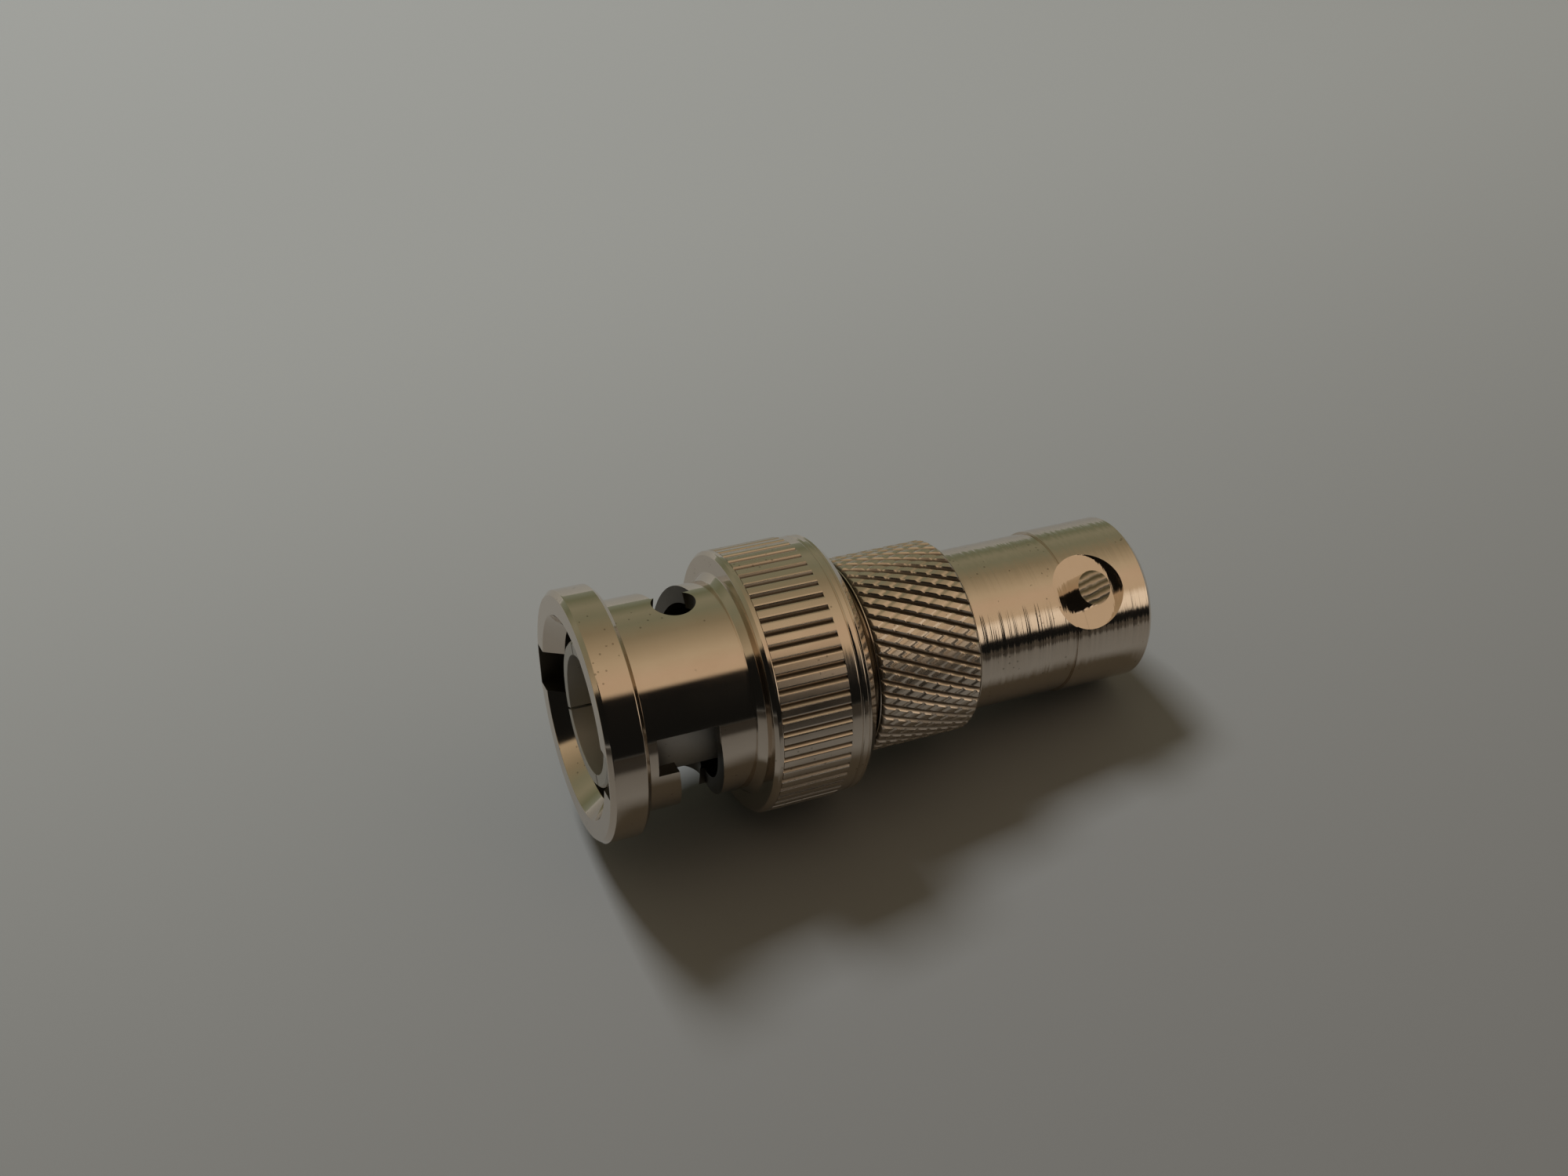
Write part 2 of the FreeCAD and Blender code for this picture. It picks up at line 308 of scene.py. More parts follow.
def slot_tools(turn):
    """The cutters of one bayonet slot: rim notch, entry groove, window, ramp and lock hole."""
    inner = RING_BORE - CUT_REACH
    outer = RING_RADIUS + CUT_REACH
    entry = ENTRY_ANGLE + turn
    lock = LOCK_ANGLE + turn
    crest = lock - math.degrees(LOCK_RADIUS / WAIST_RADIUS) + CREST_OVERLAP
    rows = []
    for step in range(RAMP_STEPS + 1):
        share = step / RAMP_STEPS
        angle = entry + share * (crest - entry)
        front = RAMP_START + share * (RAMP_CREST - RAMP_START)
        back = BACK_START + share * (LOCK_HEIGHT + LOCK_RADIUS - BACK_START)
        rows.append([polar(inner, angle, front), polar(outer, angle, front),
                     polar(outer, angle, back), polar(inner, angle, back)])
    return [
        bar("notch_tool", NOTCH_WIDTH, inner, NOTCH_RADIUS, -CUT_REACH, NOTCH_END, entry),
        bar("groove_tool", ENTRY_WIDTH, inner, ENTRY_RADIUS, -CUT_REACH, BACK_START, entry),
        bar("window_tool", ENTRY_WIDTH, inner, outer, WINDOW_START, BACK_START, entry),
        block("ramp_tool", rows),
        rod("lock_tool", LOCK_RADIUS, inner, outer, LOCK_HEIGHT, lock),
    ]


def coupling_ring():
    """The bayonet nut without its knurl, with its two slots."""
    ridge_root = RING_RADIUS - RIDGE_DEPTH
    outline = [
        (MOUTH_RADIUS, 0), (RIM_RADIUS - RIM_CHAMFER, 0), (RIM_RADIUS, RIM_CHAMFER),
        (RIM_RADIUS, RIM_END - RIM_CHAMFER), (RIM_RADIUS - RIM_CHAMFER, RIM_END), (WAIST_RADIUS, RIM_END),
        (WAIST_RADIUS, WAIST_END - WAIST_FILLET), (WAIST_RADIUS + WAIST_FILLET, WAIST_END),
        (RING_RADIUS - BAND_CHAMFER, WAIST_END), (RING_RADIUS, WAIST_END + BAND_CHAMFER),
        (RING_RADIUS, KNURL_START), (ridge_root, KNURL_START), (ridge_root, KNURL_END),
        (TAIL_RADIUS, KNURL_END),
    ]
    for height in TAIL_GROOVES:
        outline += [
            (TAIL_RADIUS, height), (TAIL_RADIUS - TAIL_GROOVE_DEPTH, height + TAIL_GROOVE_WIDTH / 2),
            (TAIL_RADIUS, height + TAIL_GROOVE_WIDTH),
        ]
    outline += [
        (TAIL_REAR_RADIUS, RING_END), (LIP_RADIUS, RING_END), (LIP_RADIUS, LIP_START),
        (RING_BORE, LIP_START), (RING_BORE, MOUTH_LENGTH),
    ]
    ring = turned("bayonet_ring", rounded(outline), RING_STEPS)
    for index in range(SLOT_COUNT):
        for tool in slot_tools(360.0 * index / SLOT_COUNT):
            combined(ring, tool, "DIFFERENCE")
    return finished(ring)


def adapter_body():
    """The turned body without its knurl: stem, neck, and the barrel with its two lugs."""
    grip_root = GRIP_RADIUS - RIDGE_DEPTH
    spigot_end = FLANGE_END + SPIGOT_LENGTH
    outline = [
        (SPIGOT_RADIUS, FLANGE_END), (STEM_RADIUS, FLANGE_END), (STEM_RADIUS, RING_END),
        (NECK_RADIUS, RING_END), (NECK_RADIUS, GRIP_START), (grip_root, GRIP_START),
        (grip_root, GRIP_END), (BARREL_RADIUS, GRIP_END), (BARREL_RADIUS, BARREL_STEP),
        (JACK_RADIUS, BARREL_STEP), (JACK_RADIUS, FULL_LENGTH - JACK_CHAMFER),
        (JACK_RADIUS - JACK_CHAMFER, FULL_LENGTH), (JACK_BORE, FULL_LENGTH), (JACK_BORE, JACK_FLOOR),
        (INSULATOR_BORE, JACK_FLOOR), (INSULATOR_BORE, INSULATOR_FLOOR),
        (TAIL_BORE, INSULATOR_FLOOR), (TAIL_BORE, spigot_end), (SPIGOT_RADIUS, spigot_end),
    ]
    body = turned("body_turning", rounded(outline), BODY_STEPS)
    for angle in (0, 180):
        spot = rod("spot_tool", SPOT_RADIUS, SPOT_DISTANCE, 2 * LUG_TIP, LUG_HEIGHT, angle)
        combined(body, spot, "DIFFERENCE")
        lug = rod("lug_tool", LUG_RADIUS, LUG_ROOT, 2 * LUG_TIP, LUG_HEIGHT, angle)
        crown = rounded([(0, LUG_HEIGHT - SPOT_RADIUS), (LUG_TIP, LUG_HEIGHT - SPOT_RADIUS),
                         (LUG_TIP, LUG_HEIGHT + SPOT_RADIUS), (0, LUG_HEIGHT + SPOT_RADIUS)])
        combined(lug, turned("crown_tool", crown, BODY_STEPS), "INTERSECT")
        combined(body, lug, "UNION")
    return finished(body)


def contact_sleeve():
    """The outer contact of the male end: a thin sleeve with a bead at its tip, slits and a flange."""
    tip = SLEEVE_LOW.z
    slope = BEAD_RADIUS - SLEEVE_RADIUS
    spigot_end = FLANGE_END + SPIGOT_LENGTH
    outline = [
        (SLEEVE_BORE, tip), (BEAD_RADIUS - slope, tip), (BEAD_RADIUS, tip + slope),
        (BEAD_RADIUS, tip + BEAD_LENGTH), (SLEEVE_RADIUS, tip + BEAD_LENGTH + 2 * slope),
        (SLEEVE_RADIUS, GASKET_REAR), (SLEEVE_HIGH.x, GASKET_REAR), (SLEEVE_HIGH.x, FLANGE_END),
        (SPIGOT_RADIUS, FLANGE_END), (SPIGOT_RADIUS, spigot_end), (TAIL_BORE, spigot_end),
        (TAIL_BORE, FLANGE_END), (SLEEVE_BORE, FLANGE_END),
    ]
    sleeve = turned("contact_sleeve", rounded(outline, radius=SLEEVE_ROUND), BODY_STEPS)
    for angle in SLIT_ANGLES:
        slit = bar("slit_tool", SLIT_WIDTH, SLEEVE_BORE - CUT_REACH, BEAD_RADIUS + CUT_REACH,
                   tip - CUT_REACH, tip + SLIT_LENGTH, angle)
        combined(sleeve, slit, "DIFFERENCE")
    return finished(sleeve)


def wave_spring():
    """The thin washer, bent in even waves, that pushes the ring back from the flange of the sleeve."""
    mesh = bmesh.new()
    swing = (SPRING_HIGH.z - SPRING_LOW.z - SPRING_SHEET) / 2
    outer = SPRING_HIGH.x
    section = ((SPRING_BORE, 0.0), (outer, 0.0), (outer, SPRING_SHEET), (SPRING_BORE, SPRING_SHEET))
    rows = []
    for step in range(SPRING_STEPS):
        angle = 360.0 * step / SPRING_STEPS
        front = SPRING_LOW.z + swing * (1 + math.cos(math.radians(SPRING_WAVES * angle)))
        rows.append([mesh.verts.new(polar(radius, angle, front + rise)) for radius, rise in section])
    for index, row in enumerate(rows):
        after = rows[(index + 1) % SPRING_STEPS]
        for corner in range(4):
            other = (corner + 1) % 4
            mesh.faces.new((row[corner], row[other], after[other], after[corner]))
    bmesh.ops.recalc_face_normals(mesh, faces=mesh.faces)
    return finished(placed("wave_spring", mesh))


def second_finish(piece, material, chosen):
    """Give the faces that a test picks a second material."""
    piece.data.materials.append(material)
    for face in piece.data.polygons:
        if chosen(face.center):
            face.material_index = 1


def inside_ring(middle):
    """Whether a face of the ring lies in its bore, its slots or the notches of its rim, where its plate is
    painted near black as painted shade.
    """
    radius = math.hypot(middle.x, middle.y)
    turn = math.radians(ENTRY_ANGLE)
    aside = abs(middle.y * math.cos(turn) - middle.x * math.sin(turn))
    in_notch = (EDGE_HOLD < middle.z < NOTCH_END + EDGE_HOLD and radius < NOTCH_RADIUS + 2 * EDGE_HOLD
                and aside < NOTCH_WIDTH / 2 + EDGE_HOLD)
    return in_notch or (radius < WAIST_RADIUS - INSIDE_MARGIN and middle.z > MOUTH_LENGTH + EDGE_ROUND)


def on_lug_tip(middle):
    """Whether a face of the body lies on the end of a lug."""
    return math.hypot(middle.x, middle.y) > LUG_TIP - EDGE_ROUND


def input_id(tree, name):
    """The identifier of a tree's input, from its name."""
    for item in tree.interface.items_tree:
        if item.item_type == "SOCKET" and item.in_out == "INPUT" and item.name == name:
            return item.identifier
    raise KeyError(name)


def knurl_tree():
    """A band of knurling: a closed sleeve whose outside is cut by one or two families of grooves.

    A grid is bent round the axis, and its columns lean by Lean turns for each metre of height, so that the
    main ridges follow them. A shallower family of grooves leans the other way.
    """
    tree = bpy.data.node_groups.new("knurl_band", "GeometryNodeTree")
    face = tree.interface
    face.new_socket("Geometry", in_out="OUTPUT", socket_type="NodeSocketGeometry")
    for name, value in (("Radius", 0.005), ("Inner Radius", 0.004), ("Start", 0.0), ("End", 0.004),
                        ("Depth", 0.0003), ("Cross Depth", 0.0), ("Ridges", 60.0), ("Lean", 0.0),
                        ("Flat", 0.6), ("Chamfer", 0.0)):
        face.new_socket(name, in_out="INPUT", socket_type="NodeSocketFloat").default_value = value
    face.new_socket("Around", in_out="INPUT", socket_type="NodeSocketInt").default_value = 960
    face.new_socket("Along", in_out="INPUT", socket_type="NodeSocketInt").default_value = 40
    face.new_socket("Material", in_out="INPUT", socket_type="NodeSocketMaterial")
    nodes = tree.nodes
    links = tree.links
    given = nodes.new("NodeGroupInput").outputs
    result = nodes.new("NodeGroupOutput")

    def plug(source, socket):
        if isinstance(source, (int, float)):
            socket.default_value = source
        else:
            links.new(source, socket)

    def calc(operation, *values):
        node = nodes.new("ShaderNodeMath")
        node.operation = operation
        for value, socket in zip(values, node.inputs):
            plug(value, socket)
        return node.outputs[0]

    grids = []
    for rows in (given["Along"], 1):
        grid = nodes.new("GeometryNodeMeshGrid")
        grid.inputs["Size X"].default_value = 1.0
        grid.inputs["Size Y"].default_value = 1.0
        plug(calc("ADD", given["Around"], 1), grid.inputs["Vertices X"])
        plug(calc("ADD", rows, 1), grid.inputs["Vertices Y"])
        grids.append(grid.outputs["Mesh"])
    place = nodes.new("GeometryNodeInputPosition")
    split = nodes.new("ShaderNodeSeparateXYZ")
    links.new(place.outputs[0], split.inputs[0])
    around = calc("ADD", split.outputs["X"], 0.5)
    along = calc("ADD", split.outputs["Y"], 0.5)
    length = calc("SUBTRACT", given["End"], given["Start"])
    height = calc("MULTIPLY_ADD", along, length, given["Start"])
    lean = calc("MULTIPLY", given["Lean"], height)

    def groove(turns):
        phase = calc("FRACT", calc("MULTIPLY", turns, given["Ridges"]))
        from_tip = calc("SUBTRACT", 0.5, calc("ABSOLUTE", calc("SUBTRACT", phase, 0.5)))
        edge = calc("MULTIPLY", given["Flat"], 0.5)
        sunk = calc("DIVIDE", calc("SUBTRACT", from_tip, edge), calc("SUBTRACT", 0.5, edge))
        return calc("MAXIMUM", sunk, 0.0)

    main = calc("MULTIPLY", groove(around), given["Depth"])
    crossing = calc("ADD", around, calc("MULTIPLY", lean, 2.0))
    cross = calc("MULTIPLY", groove(crossing), given["Cross Depth"])
    cut = calc("MAXIMUM", main, cross)
    near_end = calc("MINIMUM", calc("SUBTRACT", height, given["Start"]),
                    calc("SUBTRACT", given["End"], height))
    bevel = calc("MAXIMUM", calc("SUBTRACT", given["Chamfer"], near_end), 0.0)
    radius = calc("SUBTRACT", given["Radius"], calc("MAXIMUM", cut, bevel))
    angle = calc("MULTIPLY", calc("ADD", around, lean), 2 * math.pi)

    def bent(radius, height):
        join = nodes.new("ShaderNodeCombineXYZ")
        links.new(calc("MULTIPLY", radius, calc("COSINE", angle)), join.inputs["X"])
        links.new(calc("MULTIPLY", radius, calc("SINE", angle)), join.inputs["Y"])
        plug(height, join.inputs["Z"])
        return join.outputs[0]

    skins = nodes.new("GeometryNodeJoinGeometry")
    for grid, skin_radius, flip in zip(grids, (radius, given["Inner Radius"]), (False, True)):
        move = nodes.new("GeometryNodeSetPosition")
        links.new(grid, move.inputs["Geometry"])
        links.new(bent(skin_radius, height), move.inputs["Position"])
        skin = move.outputs[0]
        if flip:
            turn = nodes.new("GeometryNodeFlipFaces")
            links.new(skin, turn.inputs[0])
            skin = turn.outputs[0]
        links.new(skin, skins.inputs[0])
    merge = nodes.new("GeometryNodeMergeByDistance")
    merge.inputs["Distance"].default_value = 1e-7
    links.new(skins.outputs[0], merge.inputs["Geometry"])
    real = nodes.new("GeometryNodeRealizeInstances")
    links.new(merge.outputs[0], real.inputs[0])
    paint = nodes.new("GeometryNodeSetMaterial")
    links.new(real.outputs[0], paint.inputs["Geometry"])
    links.new(given["Material"], paint.inputs["Material"])
    links.new(paint.outputs[0], result.inputs[0])
    return tree


def knurl_band(name, tree, material, **sizes):
    """A knurled band made by the knurl tree, as a plain closed mesh."""
    piece = new_piece(name, bpy.data.meshes.new(name))
    change = piece.modifiers.new("knurl", "NODES")
    change.node_group = tree
    change[input_id(tree, "Material")] = material
    for socket, value in sizes.items():
        change[input_id(tree, socket.replace("_", " "))] = value
    bpy.context.view_layer.update()
    graph = bpy.context.evaluated_depsgraph_get()
    data = bpy.data.meshes.new_from_object(piece.evaluated_get(graph))
    piece.modifiers.clear()
    piece.data = data
    mesh = bmesh.new()
    mesh.from_mesh(data)
    middle = (sizes["Start"] + sizes["End"]) / 2
    rims = [edge for edge in mesh.edges if edge.is_boundary]
    for is_top in (False, True):
        loops = [edge for edge in rims if (edge.verts[0].co.z > middle) == is_top]
        bmesh.ops.bridge_loops(mesh, edges=loops)
    bmesh.ops.recalc_face_normals(mesh, faces=mesh.faces)
    mesh.to_mesh(data)
    mesh.free()
    return finished(piece)


def shader_group(name, inputs, outputs):
    """An empty shader node group with float inputs, its input sockets and its output node."""
    group = bpy.data.node_groups.new(name, "ShaderNodeTree")
    for socket, value in inputs:
        made = group.interface.new_socket(socket, in_out="INPUT", socket_type="NodeSocketFloat")
        made.default_value = value
    for socket in outputs:
        group.interface.new_socket(socket, in_out="OUTPUT", socket_type="NodeSocketFloat")
    given = group.nodes.new("NodeGroupInput").outputs
    result = group.nodes.new("NodeGroupOutput").inputs
    return group, given, result


def math_node(tree, operation, *values):
    """A math node fed by numbers or sockets; returns its output."""
    node = tree.nodes.new("ShaderNodeMath")
    node.operation = operation
    for value, socket in zip(values, node.inputs):
        if isinstance(value, (int, float)):
            socket.default_value = value
        else:
            tree.links.new(value, socket)
    return node.outputs[0]


def smooth_step(tree, value, start, end, low=0.0, high=1.0):
    """A value that eases from low to high as the input goes from start to end."""
    node = tree.nodes.new("ShaderNodeMapRange")
    node.interpolation_type = "SMOOTHSTEP"
    tree.links.new(value, node.inputs["Value"])
    for number, name in ((start, "From Min"), (end, "From Max"), (low, "To Min"), (high, "To Max")):
        if isinstance(number, (int, float)):
            node.inputs[name].default_value = number
        else:
            tree.links.new(number, node.inputs[name])
    return node.outputs["Result"]


def blended(tree, factor, first, second):
    """A colour between two others, each given as three numbers or as a socket."""
    node = tree.nodes.new("ShaderNodeMix")
    node.data_type = "RGBA"
    tree.links.new(factor, node.inputs["Factor"])
    for colour, name in ((first, "A"), (second, "B")):
        if isinstance(colour, tuple):
            node.inputs[name].default_value = (*colour, 1)
        else:
            tree.links.new(colour, node.inputs[name])
    return node.outputs["Result"]


def raised(tree, height, strength, distance):
    """Feed a height to the material's shader as bump."""
    bump = tree.nodes.new("ShaderNodeBump")
    bump.inputs["Strength"].default_value = strength
    bump.inputs["Distance"].default_value = distance
    tree.links.new(height, bump.inputs["Height"])
    tree.links.new(bump.outputs["Normal"], tree.nodes["Principled BSDF"].inputs["Normal"])


def new_material(name, metallic=0.0):
    """A material with nodes, its tree and its shader."""
    material = bpy.data.materials.new(name)
    material.use_nodes = True
    shader = material.node_tree.nodes["Principled BSDF"]
    shader.inputs["Metallic"].default_value = metallic
    return material, material.node_tree, shader


def turning_marks():
    """Fine rings left by the lathe: noise that changes fast along the axis and slowly round it."""
    tree, given, result = shader_group(
        "turning_marks", [("Rings", 9000.0), ("Wander", 160.0), ("Share", 0.25)], ["Height"])
    place = tree.nodes.new("ShaderNodeTexCoord")
    split = tree.nodes.new("ShaderNodeSeparateXYZ")
    tree.links.new(place.outputs["Object"], split.inputs[0])
    layers = []
    broad = math_node(tree, "MULTIPLY", given["Rings"], 0.13)
    for along, across in ((given["Rings"], 0.0), (broad, given["Wander"])):
        join = tree.nodes.new("ShaderNodeCombineXYZ")
        for axis in ("X", "Y"):
            tree.links.new(math_node(tree, "MULTIPLY", split.outputs[axis], across), join.inputs[axis])
        tree.links.new(math_node(tree, "MULTIPLY", split.outputs["Z"], along), join.inputs["Z"])
        noise = tree.nodes.new("ShaderNodeTexNoise")
        noise.inputs["Scale"].default_value = 1.0
        noise.inputs["Detail"].default_value = 3.0
        tree.links.new(join.outputs[0], noise.inputs["Vector"])
        layers.append(noise.outputs["Fac"])
    mixed = math_node(tree, "MULTIPLY_ADD", layers[1], given["Share"], layers[0])
    tree.links.new(mixed, result["Height"])
    return tree


def handling_wear():
    """Smudges and pinpricks: a slow mask for smeared gloss and a sparse one for small dark specks."""
    tree, given, result = shader_group(
        "handling_wear", [("Smudge Scale", 420.0), ("Speck Scale", 2600.0)], ["Smudge", "Specks"])
    place = tree.nodes.new("ShaderNodeTexCoord")
    smudge = tree.nodes.new("ShaderNodeTexNoise")
    smudge.inputs["Detail"].default_value = 5.0
    smudge.inputs["Roughness"].default_value = 0.6
    tree.links.new(place.outputs["Object"], smudge.inputs["Vector"])
    tree.links.new(given["Smudge Scale"], smudge.inputs["Scale"])
    speck = tree.nodes.new("ShaderNodeTexVoronoi")
    tree.links.new(place.outputs["Object"], speck.inputs["Vector"])
    tree.links.new(given["Speck Scale"], speck.inputs["Scale"])
    near = math_node(tree, "LESS_THAN", speck.outputs["Distance"], 0.16)
    patch = math_node(tree, "GREATER_THAN", smudge.outputs["Fac"], 0.56)
    tree.links.new(smudge.outputs["Fac"], result["Smudge"])
    tree.links.new(math_node(tree, "MULTIPLY", near, patch), result["Specks"])
    return tree


def groove_painted_shade():
    """Painted shade and dull plate between the ridges: a mask that grows from the ridge tops to the roots.
    """
    tree, given, result = shader_group("groove_painted_shade", [("Tip", 0.0074), ("Depth", 0.0002)], ["Grime"])
    place = tree.nodes.new("ShaderNodeTexCoord")
    split = tree.nodes.new("ShaderNodeSeparateXYZ")
    tree.links.new(place.outputs["Object"], split.inputs[0])
    squares = [math_node(tree, "MULTIPLY", split.outputs[axis], split.outputs[axis]) for axis in ("X", "Y")]
    radius = math_node(tree, "SQRT", math_node(tree, "ADD", *squares))
    sunk = math_node(tree, "DIVIDE", math_node(tree, "SUBTRACT", given["Tip"], radius), given["Depth"])
    tree.links.new(smooth_step(tree, sunk, 0.15, 0.8), result["Grime"])
    return tree


MARKS = turning_marks()
WEAR = handling_wear()
GROOVE_SHADE = groove_painted_shade()

# Warm plate colours: partly yellowed nickel, partly painted light, the room's warm light carried in the
# colour
NICKEL = (0.74, 0.655, 0.565)
NICKEL_WORN = (0.66, 0.56, 0.46)
SPECK_COLOUR = (0.16, 0.13, 0.09)
SPECK_STRENGTH = 0.5
# Painted shade in the knurl's grooves, how strongly it darkens them, and the roughness their duller plate
# adds
GROOVE_SHADE_COLOUR = (0.11, 0.085, 0.06)
GROOVE_SHADE_STRENGTH = 0.85
GROOVE_DULLS = 0.25
# Painted shade in the hollows of the cuts on the lug ends
LUG_CUT_SHADE = (0.13, 0.12, 0.08)
LUG_CUT_PITCH = 14500.0  # radians of the cuts' wave for each metre across them


def add_group(tree, group, **values):
    """A group node in a material, with its own values."""
    node = tree.nodes.new("ShaderNodeGroup")
    node.node_tree = group
    for socket, value in values.items():
        node.inputs[socket.replace("_", " ")].default_value = value
    return node.outputs


def metal(name, colour, worn_colour, gloss, smear, marks, depth, groove_shade_tip=0.0, **mark_values):
    """Plated or turned metal: a colour that shifts where it is handled, and lathe marks as bump.

    gloss is the roughness where it is clean, and smear what smudges add. The argument after depth is the
    radius of the ridges' tops where the metal is knurled, and 0 elsewhere; below those tops the grooves get
    painted shade and a rougher plate.
    """
    material, tree, shader = new_material(name, metallic=1.0)
    wear = add_group(tree, WEAR)
    tint = blended(tree, wear["Smudge"], colour, worn_colour)
    finish = blended(tree, math_node(tree, "MULTIPLY", wear["Specks"], SPECK_STRENGTH), tint, SPECK_COLOUR)
    rough = math_node(tree, "MULTIPLY_ADD", wear["Smudge"], smear, gloss)
    # Painted shade in the knurl's grooves: the colour darkens towards the roots, and the plate grows
    # rougher there
    if groove_shade_tip:
        groove_shade = add_group(tree, GROOVE_SHADE, Tip=groove_shade_tip, Depth=RIDGE_DEPTH)["Grime"]
        finish = blended(tree, math_node(tree, "MULTIPLY", groove_shade, GROOVE_SHADE_STRENGTH), finish, GROOVE_SHADE_COLOUR)
        rough = math_node(tree, "MULTIPLY_ADD", groove_shade, GROOVE_DULLS, rough)
    tree.links.new(finish, shader.inputs["Base Color"])
    tree.links.new(rough, shader.inputs["Roughness"])
    raised(tree, add_group(tree, MARKS, **mark_values)["Height"], marks, depth)
    return material


def plain(name, colour, second, gloss, grain_scale, grain):
    """Moulded or machined plastic and rubber: two close colours and a fine grain."""
    material, tree, shader = new_material(name)
    place = tree.nodes.new("ShaderNodeTexCoord")
    noise = tree.nodes.new("ShaderNodeTexNoise")
    noise.inputs["Scale"].default_value = grain_scale
    noise.inputs["Detail"].default_value = 4.0
    tree.links.new(place.outputs["Object"], noise.inputs["Vector"])
    tree.links.new(blended(tree, noise.outputs["Fac"], colour, second), shader.inputs["Base Color"])
    rough = math_node(tree, "MULTIPLY_ADD", noise.outputs["Fac"], 0.15, gloss)
    tree.links.new(rough, shader.inputs["Roughness"])
    raised(tree, noise.outputs["Fac"], grain, 0.00002)
    return material


def lug_plate():
    """The rough cut ends of the lugs: plate over a few coarse cuts that run along the axis, painted dark
    towards the cuts' hollows as painted shade.
    """
    material, tree, shader = new_material("nickel_lug", metallic=1.0)
    place = tree.nodes.new("ShaderNodeTexCoord")
    split = tree.nodes.new("ShaderNodeSeparateXYZ")
    tree.links.new(place.outputs["Object"], split.inputs[0])
    noise = tree.nodes.new("ShaderNodeTexNoise")
    noise.inputs["Scale"].default_value = 1500.0
    tree.links.new(place.outputs["Object"], noise.inputs["Vector"])
    tilt = math_node(tree, "MULTIPLY_ADD", split.outputs["Z"], 0.2, split.outputs["Y"])
    wander = math_node(tree, "MULTIPLY", noise.outputs["Fac"], 3.0)
    cuts = math_node(tree, "SINE", math_node(tree, "MULTIPLY_ADD", tilt, LUG_CUT_PITCH, wander))
    share = math_node(tree, "MULTIPLY_ADD", cuts, 0.35, 0.35)
    tree.links.new(blended(tree, share, LUG_CUT_SHADE, NICKEL_WORN), shader.inputs["Base Color"])
    rough = math_node(tree, "MULTIPLY_ADD", noise.outputs["Fac"], 0.2, 0.25)
    tree.links.new(rough, shader.inputs["Roughness"])
    raised(tree, cuts, 1.0, 0.000025)
    return material


def dress(piece, body, material, replaces=None):
    """Give a finished piece its material, its body and the node that it stands for."""
    piece.data.materials.clear()
    piece.data.materials.append(material)
    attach(piece, body)
    if replaces:
        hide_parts(replaces)
    return piece


plate = metal("nickel_plate", NICKEL, NICKEL_WORN, 0.05, 0.08, 0.5, 0.0000015)
turned_plate = metal("nickel_turned", NICKEL, NICKEL_WORN, 0.05, 0.09, 1.0, 0.00004, Rings=2600.0,
                     Share=0.6)
# Near-black plate for the ring's bore, slots and rim notches: the dark colour is painted shade in these
# hollows, the higher roughness a duller plate
inside_painted_shade = metal("nickel_inside_painted_shade", (0.13, 0.115, 0.095), (0.09, 0.08, 0.065), 0.35, 0.15, 0.5, 0.000002)
bore_plate = metal("nickel_bore", (0.68, 0.66, 0.63), (0.6, 0.57, 0.53), 0.5, 0.1, 0.5, 0.000002)
knurl_plate = metal("nickel_knurl", NICKEL, NICKEL_WORN, 0.17, 0.15, 0.3, 0.000003, RING_RADIUS,
                    Wander=900.0)
grip_plate = metal("nickel_grip", NICKEL, NICKEL_WORN, 0.19, 0.15, 0.3, 0.000003, GRIP_RADIUS,
                   Wander=900.0)
washer_steel = metal("washer_steel", (0.56, 0.55, 0.53), (0.42, 0.4, 0.37), 0.3, 0.15, 0.3, 0.000003)
gold = metal("contact_gold", (0.9, 0.66, 0.28), (0.8, 0.55, 0.2), 0.16, 0.1, 0.4, 0.000001)
white = plain("insulator_white", (0.86, 0.85, 0.8), (0.78, 0.77, 0.72), 0.45, 1800.0, 0.3)
rubber = plain("gasket_rubber", (0.035, 0.033, 0.03), (0.06, 0.056, 0.05), 0.6, 2600.0, 0.5)

ring = dress(coupling_ring(), "coupling", plate, "coupling_ring")
# The faces in the ring's hollows take the near-black plate, which is painted shade
second_finish(ring, inside_painted_shade, inside_ring)
body = dress(adapter_body(), "adapter", turned_plate, "adapter_body")
second_finish(body, lug_plate(), on_lug_tip)
dress(contact_sleeve(), "adapter", bore_plate, "plug_sleeve")

knurling = knurl_tree()
ring_knurl = knurl_band("ring_knurl", knurling, knurl_plate, Radius=RING_RADIUS,
                        Inner_Radius=RING_RADIUS - 2 * RIDGE_DEPTH, Start=KNURL_START, End=KNURL_END,
                        Depth=RIDGE_DEPTH, Ridges=float(RIDGE_COUNT), Flat=RIDGE_FLAT,
                        Around=16 * RIDGE_COUNT, Along=12)
dress(ring_knurl, "coupling", knurl_plate)
lean = math.tan(math.radians(GRIP_HELIX)) / (2 * math.pi * GRIP_RADIUS)
grip_knurl = knurl_band("grip_knurl", knurling, knurl_plate, Radius=GRIP_RADIUS,
                        Inner_Radius=GRIP_RADIUS - 2 * RIDGE_DEPTH, Start=GRIP_START, End=GRIP_END,
                        Depth=RIDGE_DEPTH, Cross_Depth=GRIP_CROSSING * RIDGE_DEPTH,
                        Ridges=float(GRIP_COUNT), Flat=GRIP_FLAT, Lean=lean, Chamfer=GRIP_CHAMFER,
                        Around=12 * GRIP_COUNT, Along=140)
dress(grip_knurl, "adapter", grip_plate)

spring = dress(wave_spring(), "spring_seat", washer_steel, "wave_washer")
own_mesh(spring)

for node, material in (("gasket", rubber), ("thrust_washer", washer_steel), ("plug_insulator", white),
                       ("jack_insulator", white), ("centre_contact", gold)):
    NODES[node].data.materials.clear()
    NODES[node].data.materials.append(material)


